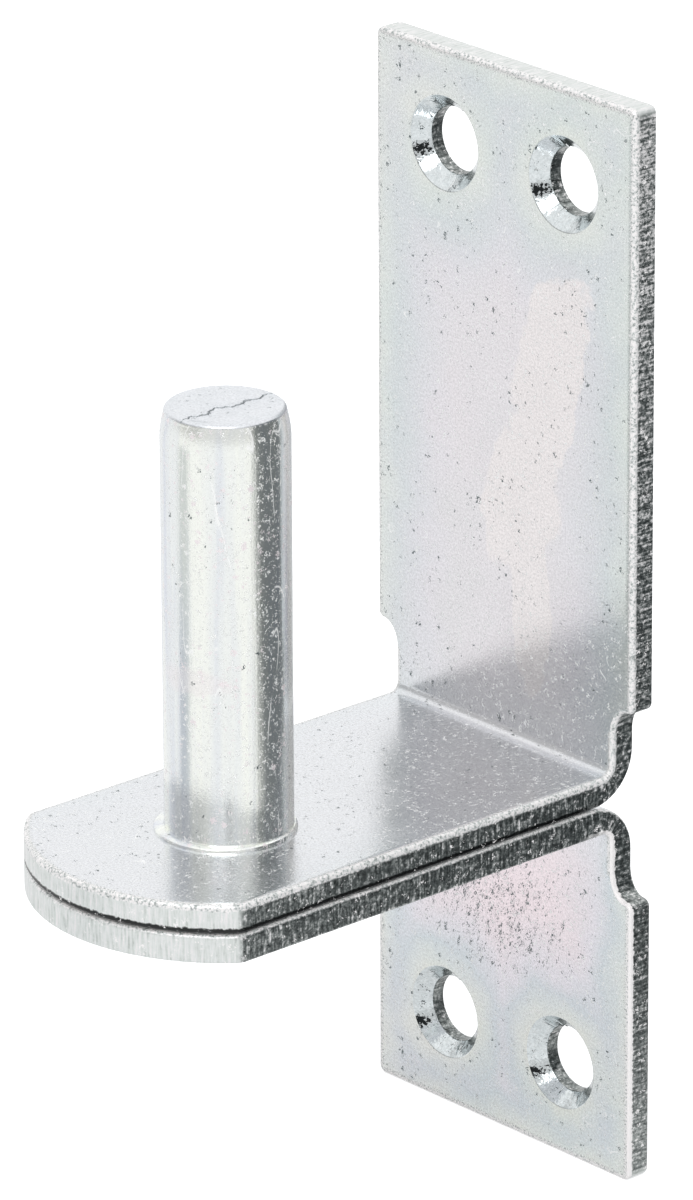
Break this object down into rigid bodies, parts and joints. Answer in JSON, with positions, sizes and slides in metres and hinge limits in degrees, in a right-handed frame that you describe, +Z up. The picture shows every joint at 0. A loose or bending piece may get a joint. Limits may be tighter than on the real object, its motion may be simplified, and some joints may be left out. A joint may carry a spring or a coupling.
{
  "type": "gate hinge pin",
  "caption": "Upright round pin riveted through the tongues of two bent steel plates with countersunk screw holes, which a gate's strap hinge drops over.",
  "frame": {"origin": "middle of the four screw holes, on the wall plane", "axes": "+Z up along the pin, +Y into the wall, +X to the right as seen from the front"},
  "size_m": [0.038, 0.0605, 0.115],
  "materials": {
    "zinc_plate": "bright electroplated zinc with a pale blue and yellow passivated film, finely speckled",
    "zinc_pin": "bright electroplated zinc, scuffed and speckled"
  },
  "bodies": {
    "root": {"upper_plate": "zinc_plate", "lower_plate": "zinc_plate", "hinge_pin": "zinc_pin"}
  },
  "joints": []
}
